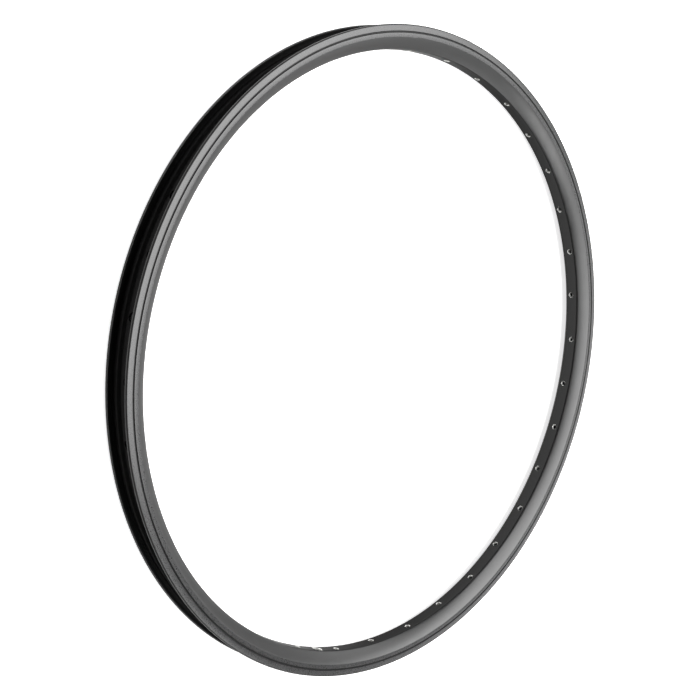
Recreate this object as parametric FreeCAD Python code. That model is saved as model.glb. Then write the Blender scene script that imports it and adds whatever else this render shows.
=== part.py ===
import FreeCAD, Part
import math
import os

# Bicycle wheel rim, 26 inch (bead seat 559 mm), double wall, drilled for 36 spokes.
# Millimetres. The wheel axis is Z, the rim lies on its side, the origin is the wheel centre.
# The valve hole is on +X and the butt joint of the rolled hoop is opposite it, on -X.

# Hoop
bead_seat_dia = 559.0
flange_height = 6.0
rim_width = 28.3
section_depth = 20.5
flange_r = bead_seat_dia / 2 + flange_height
bed_r = flange_r - section_depth
half_width = rim_width / 2

# Side wall with its brake track, and the flange lip with the bead hook
side_wall = 1.9
lip_thickness = 2.5
lip_round = 1.4
hook_round = 0.6
hook_depth = 1.7
hook_blend = 1.4
track_bottom = 9.7
track_round = 1.2
groove_depth_from_lip = 6.3
groove_width = 1.7
groove_floor = 0.9
groove_depth = 0.7

# Tyre bed with its drop centre
bead_ledge_end = 7.6
well_depth = 9.0
well_half = 5.6
bead_corner_round = 1.0
well_round = 1.2
bridge_wall = 1.4

# Flank and spoke bed
bed_half = 6.1
bed_round = 3.5
bed_wall = 2.0
flank_wall = 1.3
chamber_round = 0.8

# Drilling
spoke_count = 36
spoke_pitch = 360.0 / spoke_count
spoke_dia = 4.4
spoke_edge = 0.3
spoke_stagger = 1.1
access_dia = 8.0
valve_dia = 8.5
valve_edge = 0.4
drill_overrun = 3.0

# Butt joint and the sleeve inside it
seam_gap = 0.1
sleeve_length = 38.0
sleeve_wall = 1.8
sleeve_clearance = 0.05


# A closed wire through corners (r, z, rounding), lying in the plane y = 0
def rounded_wire(corners):
    edges = []
    starts = []
    ends = []
    count = len(corners)
    for i, (r, z, rounding) in enumerate(corners):
        here = FreeCAD.Vector(r, 0, z)
        before = FreeCAD.Vector(corners[i - 1][0], 0, corners[i - 1][1]) - here
        after = FreeCAD.Vector(corners[(i + 1) % count][0], 0, corners[(i + 1) % count][1]) - here
        before.normalize()
        after.normalize()
        half_angle = before.getAngle(after) / 2
        reach = rounding / math.tan(half_angle)
        starts.append(here + before * reach)
        ends.append(here + after * reach)
        if rounding > 0:
            inward = before + after
            inward.normalize()
            middle = here + inward * (rounding / math.sin(half_angle) - rounding)
            edges.append(Part.Arc(starts[i], middle, ends[i]).toShape())
    for i in range(count):
        edges.append(Part.makeLine(ends[i - 1], starts[i]))
    return Part.Wire(Part.__sortEdges__(edges))


# The other half of a symmetric outline, listed from the middle of one side round to the other
def with_mirror(half):
    return half + [(r, -z, rounding) for r, z, rounding in reversed(half)]


# Outside of the extrusion: spoke bed, flank, brake track with wear groove, lip, hook, tyre bed
def outer_outline():
    groove_low = flange_r - groove_depth_from_lip - groove_width / 2
    groove_high = flange_r - groove_depth_from_lip + groove_width / 2
    floor_low = flange_r - groove_depth_from_lip - groove_floor / 2
    floor_high = flange_r - groove_depth_from_lip + groove_floor / 2
    half = [
        (bed_r, bed_half, bed_round),
        (flange_r - track_bottom, half_width, track_round),
        (groove_low, half_width, 0),
        (floor_low, half_width - groove_depth, 0),
        (floor_high, half_width - groove_depth, 0),
        (groove_high, half_width, 0),
        (flange_r, half_width, lip_round),
        (flange_r, half_width - lip_thickness, hook_round),
        (flange_r - hook_depth, half_width - lip_thickness, hook_round),
        (flange_r - hook_depth - hook_blend, half_width - side_wall, 0),
        (bead_seat_dia / 2, half_width - side_wall, bead_corner_round),
        (bead_seat_dia / 2, bead_ledge_end, well_round),
        (flange_r - well_depth, well_half, well_round),
    ]
    return with_mirror(half)


# Hollow chamber between the two walls, its flank side parallel to the outside flank
def chamber_outline():
    rise = flange_r - track_bottom - bed_r
    run = half_width - bed_half
    slant = math.hypot(rise, run)
    floor_r = bed_r + bed_wall
    roof_r = flange_r - well_depth - bridge_wall
    shoulder_r = bead_seat_dia / 2 - bridge_wall
    side_z = half_width - side_wall

    def flank_z(r):
        return bed_half + (r - bed_r) * run / rise - flank_wall * slant / rise

    knee_r = bed_r + (side_z + flank_wall * slant / rise - bed_half) * rise / run
    half = [
        (floor_r, flank_z(floor_r), bed_round - flank_wall),
        (knee_r, side_z, 0),
        (shoulder_r, side_z, chamber_round),
        (shoulder_r, bead_ledge_end + bridge_wall, chamber_round),
        (roof_r, well_half, chamber_round),
    ]
    return with_mirror(half)


# A section swept round the wheel axis, from one angle through another
def swept(face, start, sweep):
    placed = face.copy()
    placed.rotate(FreeCAD.Vector(0, 0, 0), FreeCAD.Vector(0, 0, 1), start)
    return placed.revolve(FreeCAD.Vector(0, 0, 0), FreeCAD.Vector(0, 0, 1), sweep)


# A drill on a radial axis at an angle and height, between two radii
def drill(dia, r_from, r_to, angle, z):
    a = math.radians(angle)
    out = FreeCAD.Vector(math.cos(a), math.sin(a), 0)
    return Part.makeCylinder(dia / 2, r_to - r_from, out * r_from + FreeCAD.Vector(0, 0, z), out)


# The small cone that breaks the hub-side edge of a hole in the spoke bed
def edge_break(dia, edge, angle, z):
    a = math.radians(angle)
    out = FreeCAD.Vector(math.cos(a), math.sin(a), 0)
    base = out * (bed_r - edge) + FreeCAD.Vector(0, 0, z)
    return Part.makeCone(dia / 2 + 2 * edge, dia / 2, 2 * edge, base, out)


# Stepped drilling of one spoke hole: nipple seat in the spoke bed, wider access hole in the tyre bed
def spoke_drills(angle, z):
    mid_r = bed_r + (section_depth - well_depth) / 2
    return [
        drill(spoke_dia, bed_r - drill_overrun, mid_r, angle, z),
        drill(access_dia, mid_r, flange_r, angle, z),
    ]


# The swept section with its valve hole and two rows of spoke holes, drilled first and then edge-broken
def rim_hoop():
    section = Part.Face([rounded_wire(outer_outline()), rounded_wire(chamber_outline())])
    section.validate()
    gap = math.degrees(seam_gap / flange_r)
    hoop = swept(section, 180 + gap / 2, 360 - gap)
    drills = [drill(valve_dia, bed_r - drill_overrun, flange_r, 0, 0)]
    edges = [edge_break(valve_dia, valve_edge, 0, 0)]
    for index in range(spoke_count):
        angle = (index + 0.5) * spoke_pitch
        z = spoke_stagger if index % 2 == 0 else -spoke_stagger
        drills += spoke_drills(angle, z)
        edges.append(edge_break(spoke_dia, spoke_edge, angle, z))
    return hoop.cut(drills).cut(edges)


# Short tube of the chamber's own outline, pressed half its length into each end of the hoop
def joint_sleeve():
    room = Part.Face(rounded_wire(chamber_outline()))
    outside = room.makeOffset2D(-sleeve_clearance)
    inside = room.makeOffset2D(-sleeve_clearance - sleeve_wall)
    sweep = math.degrees(sleeve_length / (bed_r + section_depth / 2))
    return swept(outside.cut(inside).Faces[0], 180 - sweep / 2, sweep)


os.makedirs("parts", exist_ok=True)
for name, shape in (("rim_hoop", rim_hoop()), ("joint_sleeve", joint_sleeve())):
    solid = shape.Solids[0]
    print(name, len(shape.Solids), solid.isValid(), round(solid.Volume * 2.7e-6, 4), "kg", solid.BoundBox)
    solid.exportStep("parts/" + name + ".step")
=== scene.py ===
import bpy
import math
from mathutils import Matrix, Vector


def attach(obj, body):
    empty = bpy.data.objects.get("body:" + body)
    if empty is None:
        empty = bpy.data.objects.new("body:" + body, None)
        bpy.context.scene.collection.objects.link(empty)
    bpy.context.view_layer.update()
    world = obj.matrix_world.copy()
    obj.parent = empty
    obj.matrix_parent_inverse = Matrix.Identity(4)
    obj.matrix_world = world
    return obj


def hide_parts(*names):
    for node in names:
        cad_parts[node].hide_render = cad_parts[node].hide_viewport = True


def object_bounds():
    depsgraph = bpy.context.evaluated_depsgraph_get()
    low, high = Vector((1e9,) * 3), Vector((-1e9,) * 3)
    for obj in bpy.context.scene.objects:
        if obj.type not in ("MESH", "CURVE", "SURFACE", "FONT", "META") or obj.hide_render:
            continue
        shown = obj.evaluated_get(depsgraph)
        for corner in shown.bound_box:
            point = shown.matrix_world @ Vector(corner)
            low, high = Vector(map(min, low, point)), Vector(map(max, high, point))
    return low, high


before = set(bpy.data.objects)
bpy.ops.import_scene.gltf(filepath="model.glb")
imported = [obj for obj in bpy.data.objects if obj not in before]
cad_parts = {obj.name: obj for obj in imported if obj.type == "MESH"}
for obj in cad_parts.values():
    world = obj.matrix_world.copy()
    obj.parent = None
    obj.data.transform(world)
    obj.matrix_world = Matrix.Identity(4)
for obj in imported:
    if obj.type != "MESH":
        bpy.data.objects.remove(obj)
cad_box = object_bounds()

# Rim hoop
# One aluminium extrusion with a hollow chamber, rolled to a hoop, butted at a seam and anodised black.
# Its side walls are turned as brake tracks with a wear groove; the holes are drilled last and stay bare.

# Sizes of the section in metres: distances from the wheel axis and from the middle of the width
FLANGE_R = -cad_box[0][0]
HALF_WIDTH = cad_box[1][2]
BED_R = FLANGE_R - 0.0205
BED_HALF = 0.0061
BED_ROUND = 0.0035
FLANK_CROWN = 0.00065
FLANK_ROUND = 0.045
TRACK_BOTTOM = FLANGE_R - 0.0107
TRACK_ROUND = 0.0012
GROOVE_R = FLANGE_R - 0.0063
GROOVE_WIDTH = 0.0017
GROOVE_FLOOR = 0.0009
GROOVE_DEPTH = 0.0007
LIP = 0.0025
LIP_ROUND = 0.001
HOOK_DEPTH = 0.0017
HOOK_BLEND = 0.0014
HOOK_ROUND = 0.0006
SIDE_WALL = 0.0019
SIDE_ROUND = 0.0008
BEAD_R = FLANGE_R - 0.006
BEAD_ROUND = 0.001
LEDGE_END = 0.0076
WELL_R = FLANGE_R - 0.009
WELL_HALF = 0.0056
WELL_ROUND = 0.0012

# Walls round the chamber, whose slanted side rises CHAMBER_RISE over the run of the flank
BRIDGE = 0.0014
BED_WALL = 0.002
FLANK_WALL = 0.0013
CHAMBER_RISE = 0.0108
CHAMBER_ROUND = 0.0008
KNEE_ROUND = 0.0004


# Points of a closed outline through corners (r, z, rounding)
def rounded(corners, stride=0.0006, turn=math.radians(22.5)):
    points = []
    for i, (r, z, rounding) in enumerate(corners):
        here = Vector((r, z))
        before = (Vector(corners[i - 1][:2]) - here).normalized()
        after = (Vector(corners[(i + 1) % len(corners)][:2]) - here).normalized()
        if rounding == 0:
            points.append(here)
            continue
        half = before.angle(after) / 2
        centre = here + (before + after).normalized() * (rounding / math.sin(half))
        start = here + before * (rounding / math.tan(half)) - centre
        sweep = math.pi - 2 * half
        side = 1 if before.x * after.y - before.y * after.x < 0 else -1
        count = max(2, math.ceil(sweep / turn), math.ceil(sweep * rounding / stride))
        for k in range(count + 1):
            t = side * sweep * k / count
            c = math.cos(t)
            s = math.sin(t)
            points.append(centre + Vector((c * start.x - s * start.y, s * start.x + c * start.y)))
    return points


# The other half of a symmetric outline
def mirrored(half):
    return half + [(r, -z, rounding) for r, z, rounding in reversed(half)]


# Outside of the section, from the spoke bed over the slightly crowned flank and the lip to the tyre bed
flank_middle = Vector((BED_R + TRACK_BOTTOM, BED_HALF + HALF_WIDTH)) / 2
flank_crown = flank_middle + Vector((BED_HALF - HALF_WIDTH, TRACK_BOTTOM - BED_R)).normalized() * FLANK_CROWN
outside = rounded(mirrored([
    (BED_R, BED_HALF, BED_ROUND),
    (flank_crown.x, flank_crown.y, FLANK_ROUND),
    (TRACK_BOTTOM, HALF_WIDTH, TRACK_ROUND),
    (GROOVE_R - GROOVE_WIDTH / 2, HALF_WIDTH, 0),
    (GROOVE_R - GROOVE_FLOOR / 2, HALF_WIDTH - GROOVE_DEPTH, 0),
    (GROOVE_R + GROOVE_FLOOR / 2, HALF_WIDTH - GROOVE_DEPTH, 0),
    (GROOVE_R + GROOVE_WIDTH / 2, HALF_WIDTH, 0),
    (FLANGE_R, HALF_WIDTH, LIP_ROUND),
    (FLANGE_R, HALF_WIDTH - LIP, HOOK_ROUND),
    (FLANGE_R - HOOK_DEPTH, HALF_WIDTH - LIP, HOOK_ROUND),
    (FLANGE_R - HOOK_DEPTH - HOOK_BLEND, HALF_WIDTH - SIDE_WALL, SIDE_ROUND),
    (BEAD_R, HALF_WIDTH - SIDE_WALL, BEAD_ROUND),
    (BEAD_R, LEDGE_END, WELL_ROUND),
    (WELL_R, WELL_HALF, WELL_ROUND),
]))

# Hollow chamber between the spoke bed and the tyre bed
slope = (HALF_WIDTH - BED_HALF) / CHAMBER_RISE
flank_in = FLANK_WALL * math.hypot(1, slope)
knee_r = BED_R + (HALF_WIDTH - SIDE_WALL + flank_in - BED_HALF) / slope
chamber = rounded(mirrored([
    (BED_R + BED_WALL, BED_HALF + BED_WALL * slope - flank_in, BED_ROUND - FLANK_WALL),
    (knee_r, HALF_WIDTH - SIDE_WALL, KNEE_ROUND),
    (BEAD_R - BRIDGE, HALF_WIDTH - SIDE_WALL, CHAMBER_ROUND),
    (BEAD_R - BRIDGE, LEDGE_END + BRIDGE, CHAMBER_ROUND),
    (WELL_R - BRIDGE, WELL_HALF, CHAMBER_ROUND),
]))

# Finishes of the hoop, in the order of its material slots; those of the channel, the lip and groove and the
# bed carry painted shade
FINISHES = ["flank", "track", "channel", "chamber", "shaded_lip_groove", "bed"]
BED_SHADE_REACH = 0.0003
HAIR = 0.00002


# Finish of the strip whose middle lies at (r, z) on the outside. The bed's darker finish, which is painted
# shade, runs a little way up its rounded corners. The lip, the groove's floor and the groove's wall towards
# the hub get a deeper black, which is painted shade.
def finish_at(r, z):
    side = abs(z)
    if r < BED_R + BED_SHADE_REACH:
        return "bed"
    if r > TRACK_BOTTOM and side > HALF_WIDTH - HAIR:
        return "track"
    if WELL_R - HAIR < r < FLANGE_R - HOOK_ROUND + HAIR and side < HALF_WIDTH - SIDE_WALL + HAIR:
        return "channel"
    # Painted shade: the groove's floor and hub-side wall, and the lip below, get the deeper black
    if GROOVE_R - GROOVE_WIDTH / 2 < r < GROOVE_R + HAIR:
        return "shaded_lip_groove"
    if r > FLANGE_R - LIP_ROUND and side > HALF_WIDTH - LIP + HOOK_ROUND:
        return "shaded_lip_groove"
    return "flank"


def mesh_object(name, verts, faces):
    mesh = bpy.data.meshes.new(name)
    mesh.from_pydata(verts, [], faces)
    mesh.update()
    piece = bpy.data.objects.new(name, mesh)
    bpy.context.scene.collection.objects.link(piece)
    return piece


# An outline swept once round the wheel axis, facing inward for the chamber
def add_hoop(verts, faces, finishes, outline, steps, inward):
    first = len(verts)
    count = len(outline)
    for j in range(steps):
        t = 2 * math.pi * (j + 0.5) / steps
        verts.extend((p.x * math.cos(t), p.x * math.sin(t), p.y) for p in outline)
    for j in range(steps):
        here = first + j * count
        after = first + (j + 1) % steps * count
        for i in range(count):
            k = (i + 1) % count
            quad = (here + i, after + i, after + k, here + k)
            middle = (outline[i] + outline[k]) / 2
            faces.append(quad[::-1] if inward else quad)
            finishes.append("chamber" if inward else finish_at(middle.x, middle.y))


OUTSIDE_STEPS = 432
CHAMBER_STEPS = 144
verts = []
faces = []
finishes = []
add_hoop(verts, faces, finishes, outside, OUTSIDE_STEPS, False)
add_hoop(verts, faces, finishes, chamber, CHAMBER_STEPS, True)
rim = mesh_object("rim", verts, faces)

# Drilling: two staggered rows of stepped spoke holes, wider on the tyre side so that the nipple goes in from
# there, and one valve hole between two of them. Each edge is broken by a small cone.
SPOKES = 36
STAGGER = 0.0011
SPOKE_R = 0.0022
SPOKE_EDGE = 0.0003
ACCESS_R = 0.004
ACCESS_EDGE = 0.0003
VALVE_R = 0.00425
VALVE_EDGE = 0.0004
VALVE_TYRE_EDGE = 0.00025
TYRE_EDGE_REACH = 0.0002
MID_R = (BED_R + WELL_R) / 2


# A drill on a radial axis, turned from (radius, distance from the wheel axis), bare on the hub side
def add_drill(verts, faces, finishes, turned, angle, z, sides=40):
    out = Vector((math.cos(angle), math.sin(angle), 0))
    across = Vector((-math.sin(angle), math.cos(angle), 0))
    first = len(verts)
    for radius, along in turned:
        for k in range(sides):
            t = 2 * math.pi * k / sides
            height = Vector((0, 0, z + radius * math.sin(t)))
            verts.append(out * along + across * (radius * math.cos(t)) + height)
    for ring in range(len(turned) - 1):
        a = first + ring * sides
        b = a + sides
        faces.extend((a + k, a + (k + 1) % sides, b + (k + 1) % sides, b + k) for k in range(sides))
        finishes.extend(["bare" if turned[ring][1] < MID_R else "channel"] * sides)
    last = first + (len(turned) - 1) * sides
    faces.append(tuple(first + k for k in reversed(range(sides))))
    faces.append(tuple(last + k for k in range(sides)))
    finishes.extend(["bare", "channel"])


spoke_drill = [
    (SPOKE_R + 2 * SPOKE_EDGE, BED_R - SPOKE_EDGE),
    (SPOKE_R, BED_R + SPOKE_EDGE),
    (SPOKE_R, MID_R),
    (ACCESS_R, MID_R),
    (ACCESS_R, WELL_R - TYRE_EDGE_REACH),
    (ACCESS_R + ACCESS_EDGE, WELL_R + TYRE_EDGE_REACH),
]
valve_drill = [
    (VALVE_R + 2 * VALVE_EDGE, BED_R - VALVE_EDGE),
    (VALVE_R, BED_R + VALVE_EDGE),
    (VALVE_R, MID_R),
    (VALVE_R, WELL_R - TYRE_EDGE_REACH),
    (VALVE_R + VALVE_TYRE_EDGE, WELL_R + TYRE_EDGE_REACH),
]
verts = []
faces = []
drill_finishes = []
for index in range(SPOKES):
    angle = 2 * math.pi * (index + 0.5) / SPOKES
    z = STAGGER if index % 2 == 0 else -STAGGER
    add_drill(verts, faces, drill_finishes, spoke_drill, angle, z)
add_drill(verts, faces, drill_finishes, valve_drill, 0, 0)
drills = mesh_object("drills", verts, faces)

# Saw line where the two ends of the hoop butt together, opposite the valve
SEAM = 0.00011
SAW_OVERRUN = 0.002
saw_r = (BED_R - SAW_OVERRUN, FLANGE_R + SAW_OVERRUN)
saw_z = HALF_WIDTH + SAW_OVERRUN
verts = [(-r, y, z) for r in saw_r for y in (-SEAM / 2, SEAM / 2) for z in (-saw_z, saw_z)]
faces = [(0, 1, 3, 2), (4, 6, 7, 5), (0, 4, 5, 1), (2, 3, 7, 6), (0, 2, 6, 4), (1, 5, 7, 3)]
saw = mesh_object("saw", verts, faces)


# A linear colour from an sRGB hex code
def srgb(hex_code):
    parts = [int(hex_code[i:i + 2], 16) / 255 for i in (1, 3, 5)]
    return tuple(c / 12.92 if c <= 0.04045 else ((c + 0.055) / 1.055) ** 2.4 for c in parts) + (1,)


# One shader node, with its sockets set to values or linked to other sockets
def put(tree, kind, inputs=None, **settings):
    made = tree.nodes.new(kind)
    for key, value in settings.items():
        setattr(made, key, value)
    for key, value in (inputs or {}).items():
        if isinstance(value, bpy.types.NodeSocket):
            tree.links.new(value, made.inputs[key])
        else:
            made.inputs[key].default_value = value
    return made


def blank(name):
    material = bpy.data.materials.new(name)
    material.use_nodes = True
    material.node_tree.nodes.clear()
    return material, material.node_tree


# The place on the part, in millimetres
def part_place(tree):
    metres = put(tree, "ShaderNodeNewGeometry").outputs["Position"]
    return put(tree, "ShaderNodeVectorMath", {0: metres, 3: 1000.0}, operation="SCALE").outputs[0]


# The place on the section, distance from the axis and height, for marks that run round the hoop
def section_place(tree, place):
    split = put(tree, "ShaderNodeSeparateXYZ", {0: place}).outputs
    flat = put(tree, "ShaderNodeCombineXYZ", {0: split[0], 1: split[1], 2: 0.0}).outputs[0]
    radius = put(tree, "ShaderNodeVectorMath", {0: flat}, operation="LENGTH").outputs["Value"]
    return put(tree, "ShaderNodeCombineXYZ", {0: radius, 1: split[2], 2: 0.0}).outputs[0]


# Black anodised aluminium as it was extruded: even and dark, with faint die lines running round the hoop
# and a slight cloudiness that softens the reflections. The grain of the etch is drawn coarse enough to show.
# Marks are counted per millimetre; edge is the tint of reflections at a grazing angle.
def anodised(name, colour, rough, specular, metal=0.0, edge="#ffffff"):
    die_lines = 3.0
    clouds = 0.09
    etch_grains = 2.6
    material, tree = blank(name)
    place = part_place(tree)
    section = section_place(tree, place)
    die = put(tree, "ShaderNodeTexNoise", {"Vector": section, "Scale": die_lines, "Detail": 3.0})
    cloud = put(tree, "ShaderNodeTexNoise", {"Vector": place, "Scale": clouds, "Detail": 4.0})
    grain = put(tree, "ShaderNodeTexNoise", {"Vector": place, "Scale": etch_grains, "Detail": 2.0})
    sheen = put(tree, "ShaderNodeMapRange", {
        "Value": cloud.outputs[0], "To Min": rough - 0.05, "To Max": rough + 0.05})
    lines = put(tree, "ShaderNodeBump", {"Height": die.outputs[0], "Strength": 0.05, "Distance": 0.0001})
    bump = put(tree, "ShaderNodeBump", {
        "Height": grain.outputs[0], "Strength": 0.08, "Distance": 0.0001, "Normal": lines.outputs[0]})
    shade = put(tree, "ShaderNodeBsdfPrincipled", {
        "Base Color": srgb(colour), "Roughness": sheen.outputs[0], "Specular IOR Level": specular,
        "Metallic": metal, "Specular Tint": srgb(edge), "Normal": bump.outputs[0]})
    put(tree, "ShaderNodeOutputMaterial", {"Surface": shade.outputs[0]})
    return material


# Brake track turned on a lathe and anodised with the rest: fine rings, and a grain that breaks up the sheen,
# drawn coarser than it is so that it shows. Marks are counted per millimetre.
def turned_black(name, colour, rough, specular):
    turning_rings = 7.0
    grains = 1.3
    material, tree = blank(name)
    place = part_place(tree)
    section = section_place(tree, place)
    rings = put(tree, "ShaderNodeTexNoise", {"Vector": section, "Scale": turning_rings, "Detail": 4.0})
    grain = put(tree, "ShaderNodeTexNoise", {"Vector": place, "Scale": grains, "Detail": 3.0})
    sheen = put(tree, "ShaderNodeMapRange", {
        "Value": grain.outputs[0], "From Min": 0.3, "From Max": 0.7,
        "To Min": rough - 0.05, "To Max": rough + 0.05})
    lines = put(tree, "ShaderNodeBump", {"Height": rings.outputs[0], "Strength": 0.06, "Distance": 0.0001})
    bump = put(tree, "ShaderNodeBump", {
        "Height": grain.outputs[0], "Strength": 0.09, "Distance": 0.00015, "Normal": lines.outputs[0]})
    shade = put(tree, "ShaderNodeBsdfPrincipled", {
        "Base Color": srgb(colour), "Roughness": sheen.outputs[0], "Specular IOR Level": specular,
        "Normal": bump.outputs[0]})
    put(tree, "ShaderNodeOutputMaterial", {"Surface": shade.outputs[0]})
    return material


# Bare aluminium left by the drill: bright walls that catch the light as small crescents in the black.
# Marks are counted per millimetre.
def drilled(name):
    chatter_marks = 1.8
    material, tree = blank(name)
    place = part_place(tree)
    chatter = put(tree, "ShaderNodeTexNoise", {"Vector": place, "Scale": chatter_marks, "Detail": 2.0})
    bump = put(tree, "ShaderNodeBump", {"Height": chatter.outputs[0], "Strength": 0.15, "Distance": 0.0001})
    shade = put(tree, "ShaderNodeBsdfPrincipled", {
        "Base Color": srgb("#e6e6e3"), "Metallic": 0.7, "Roughness": 0.4, "Normal": bump.outputs[0]})
    put(tree, "ShaderNodeOutputMaterial", {"Surface": shade.outputs[0]})
    return material


# Mill finish: grey aluminium as it leaves the die, with lines along the sweep, counted per millimetre
def as_extruded(name):
    die_lines = 4.0
    material, tree = blank(name)
    section = section_place(tree, part_place(tree))
    die = put(tree, "ShaderNodeTexNoise", {"Vector": section, "Scale": die_lines, "Detail": 3.0})
    bump = put(tree, "ShaderNodeBump", {"Height": die.outputs[0], "Strength": 0.2, "Distance": 0.0001})
    shade = put(tree, "ShaderNodeBsdfPrincipled", {
        "Base Color": srgb("#bfc0c0"), "Metallic": 1.0, "Roughness": 0.4, "Normal": bump.outputs[0]})
    put(tree, "ShaderNodeOutputMaterial", {"Surface": shade.outputs[0]})
    return material


# The flank and bed show the dark metal through the dyed oxide, the bed in a darker colour that is painted
# shade; channel, lip and groove hardly shine, a dull black that is painted shade.
# The chamber is closed before the anodising bath, so it keeps the mill finish.
# Painted shade: the tyre channel gets a dull, hardly shining black so that it looks shaded in its recess;
# the tyre-side drill walls and the saw line share it
channel_shade_black = anodised("dull black with painted shade in the tyre channel", "#1a1a1a", 0.55, 0.1)
mill_finish = as_extruded("mill-finish aluminium")
rim.data.materials.append(anodised("satin black anodising", "#525252", 0.34, 0.5, 1.0, "#b8b8b8"))
rim.data.materials.append(turned_black("machined black brake track", "#0e0e0f", 0.3, 1.0))
rim.data.materials.append(channel_shade_black)
rim.data.materials.append(mill_finish)
# Painted shade: the lip and the groove get a deeper, duller black than the flank so that they look shaded
rim.data.materials.append(anodised("painted shade on the lip and groove", "#050505", 0.45, 0.3))
# Painted shade: the spoke bed is the flank's finish with a darker colour, so that it looks shaded
rim.data.materials.append(anodised("satin black with painted shade on the spoke bed", "#282828", 0.34, 0.5, 1.0, "#b8b8b8"))
for face, finish in zip(rim.data.polygons, finishes):
    face.material_index = FINISHES.index(finish)
drills.data.materials.append(drilled("bare drilled aluminium"))
drills.data.materials.append(channel_shade_black)
for face, finish in zip(drills.data.polygons, drill_finishes):
    face.material_index = 0 if finish == "bare" else 1
saw.data.materials.append(channel_shade_black)

for tool in (drills, saw):
    cut = rim.modifiers.new(tool.name, "BOOLEAN")
    cut.object = tool
    cut.operation = "DIFFERENCE"
    cut.solver = "EXACT"
    cut.material_mode = "TRANSFER"
rim_cut = bpy.data.meshes.new_from_object(rim.evaluated_get(bpy.context.evaluated_depsgraph_get()))
rim.modifiers.clear()
rim.data = rim_cut
for tool in (drills, saw):
    bpy.data.objects.remove(tool)
rim.data.shade_smooth()
rim.data.set_sharp_from_angle(angle=math.radians(28))
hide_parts("rim_hoop")
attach(rim, "root")

# Joint sleeve
# A short extruded aluminium tube, pressed into both ends of the hoop at the seam.
# It is hidden in the chamber and keeps its mill finish.
for part_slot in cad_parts["joint_sleeve"].material_slots:
    part_slot.material = mill_finish

# Floor
# A wide sheet of plain white paper that the rim lies on.
FLOOR_HALF = 40.0
floor_z = cad_box[0][2]
floor_corners = [(x * FLOOR_HALF, y * FLOOR_HALF, floor_z) for x, y in ((-1, -1), (1, -1), (1, 1), (-1, 1))]
floor = mesh_object("floor", floor_corners, [(0, 1, 2, 3)])

# Matt white paper: white to the camera and in the metal's reflections, with a soft shadow still on it
paper, tree = blank("matt white paper")
ray = put(tree, "ShaderNodeLightPath").outputs
seen = put(tree, "ShaderNodeMath", {0: ray["Is Camera Ray"], 1: ray["Is Glossy Ray"]}, operation="ADD")
seen = put(tree, "ShaderNodeMath", {0: seen.outputs[0], 1: ray["Is Transmission Ray"]}, operation="ADD")
glow = put(tree, "ShaderNodeMath", {0: seen.outputs[0], 1: 0.72}, operation="MULTIPLY")
shade = put(tree, "ShaderNodeBsdfPrincipled", {
    "Base Color": srgb("#f0f0ef"), "Roughness": 0.9, "Specular IOR Level": 0.1,
    "Emission Color": srgb("#ffffff"), "Emission Strength": glow.outputs[0]})
put(tree, "ShaderNodeOutputMaterial", {"Surface": shade.outputs[0]})
floor.data.materials.append(paper)

# Studio light
# A light tent, open on the side that the camera looks from: soft panels overhead, the main one turned so
# that its edge runs across the rim's reflections, and lit walls behind and at both sides.
ROOF_HEIGHT = 1.6
CLOTH_HEIGHT = 1.4
CLOTH_MIDDLE = CLOTH_HEIGHT / 2
BACK_Y = 3.05
BACK_WIDTH = 1.35
SIDE_X = 1.9
SIDE_Y = 1.8
SIDE_WIDTH = 1.8


def softbox(name, place, aim, sides, power, turn=0.0):
    lamp = bpy.data.lights.new(name, "AREA")
    lamp.shape = "RECTANGLE"
    lamp.size = sides[0]
    lamp.size_y = sides[1]
    lamp.energy = power
    box = bpy.data.objects.new(name, lamp)
    facing = (Vector(aim) - Vector(place)).to_track_quat("-Z", "Y").to_matrix().to_4x4()
    box.matrix_world = Matrix.Translation(place) @ Matrix.Rotation(turn, 4, "Z") @ facing
    bpy.context.scene.collection.objects.link(box)


def roof_panel(name, x, y, sides, power, turn=0.0):
    softbox(name, (x, y, ROOF_HEIGHT), (x, y, 0), sides, power, turn)


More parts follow.
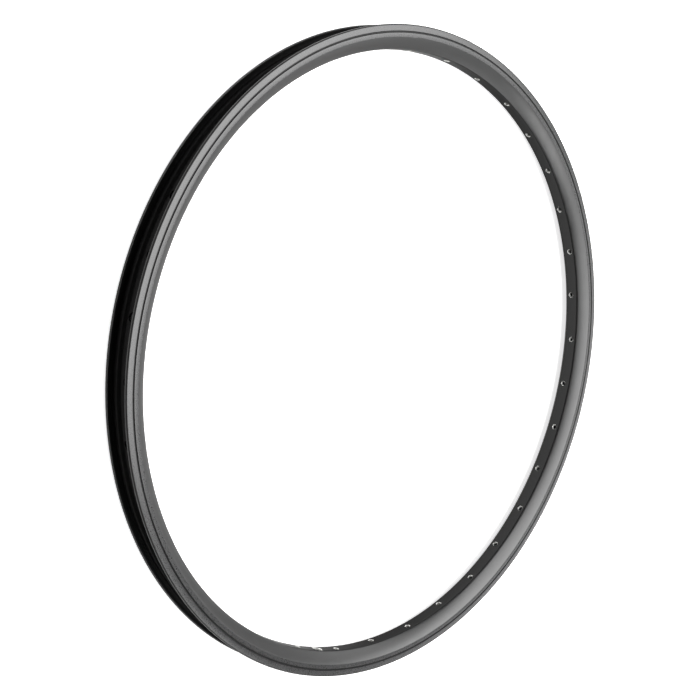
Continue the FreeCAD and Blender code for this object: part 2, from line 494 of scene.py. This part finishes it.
def back_cloth(name, x, power):
    softbox(name, (x, BACK_Y, CLOTH_MIDDLE), (x, 0, CLOTH_MIDDLE), (BACK_WIDTH, CLOTH_HEIGHT), power)


def side_cloth(name, x, power):
    softbox(name, (x, SIDE_Y, CLOTH_MIDDLE), (0, SIDE_Y, CLOTH_MIDDLE), (SIDE_WIDTH, CLOTH_HEIGHT), power)


roof_panel("main panel", -0.592, 0.715, (1.9, 1.25), 36, math.radians(-26.6))
roof_panel("near panel", -0.45, -0.1, (2.7, 0.9), 29.7)
roof_panel("right panel", 1.35, 0.8, (0.9, 0.9), 14.4)
roof_panel("left panel", -1.35, 1.7, (0.9, 0.9), 8.2)
roof_panel("far panel", 0, 2.6, (1.8, 0.9), 15.7)
roof_panel("far right panel", 1.35, 2.6, (0.9, 0.9), 5.4)
back_cloth("back wall", 0, 13.2)
back_cloth("back right wall", BACK_WIDTH, 7.6)
back_cloth("back left wall", -BACK_WIDTH, 6.4)
side_cloth("left wall", -SIDE_X, 17.2)
side_cloth("right wall", SIDE_X, 15.3)
world = bpy.data.worlds.new("dim room")
bpy.context.scene.world = world
world.use_nodes = True
world.node_tree.nodes.clear()
room = put(world.node_tree, "ShaderNodeBackground", {"Color": srgb("#ffffff"), "Strength": 0.05})
put(world.node_tree, "ShaderNodeOutputWorld", {"Surface": room.outputs[0]})

# Camera
# Looks down on the lying rim from the side that the photograph was taken from, and is rolled so that the
# rim stands upright in view.
EYE = (0.03373, -0.80275, 0.75871)
HEADING = math.radians(2.28)
TILT = math.radians(44.77)
ROLL = math.radians(102.53)
FOCAL_LENGTH = 64.07
lens = bpy.data.cameras.new("camera")
lens.sensor_width = 36
lens.lens = FOCAL_LENGTH
lens.clip_end = 50
camera = bpy.data.objects.new("camera", lens)
aimed = Matrix.Rotation(HEADING, 4, "Z") @ Matrix.Rotation(TILT, 4, "X") @ Matrix.Rotation(ROLL, 4, "Z")
camera.matrix_world = Matrix.Translation(EYE) @ aimed
bpy.context.scene.collection.objects.link(camera)
bpy.context.scene.camera = camera
bpy.context.scene.view_settings.view_transform = "Standard"
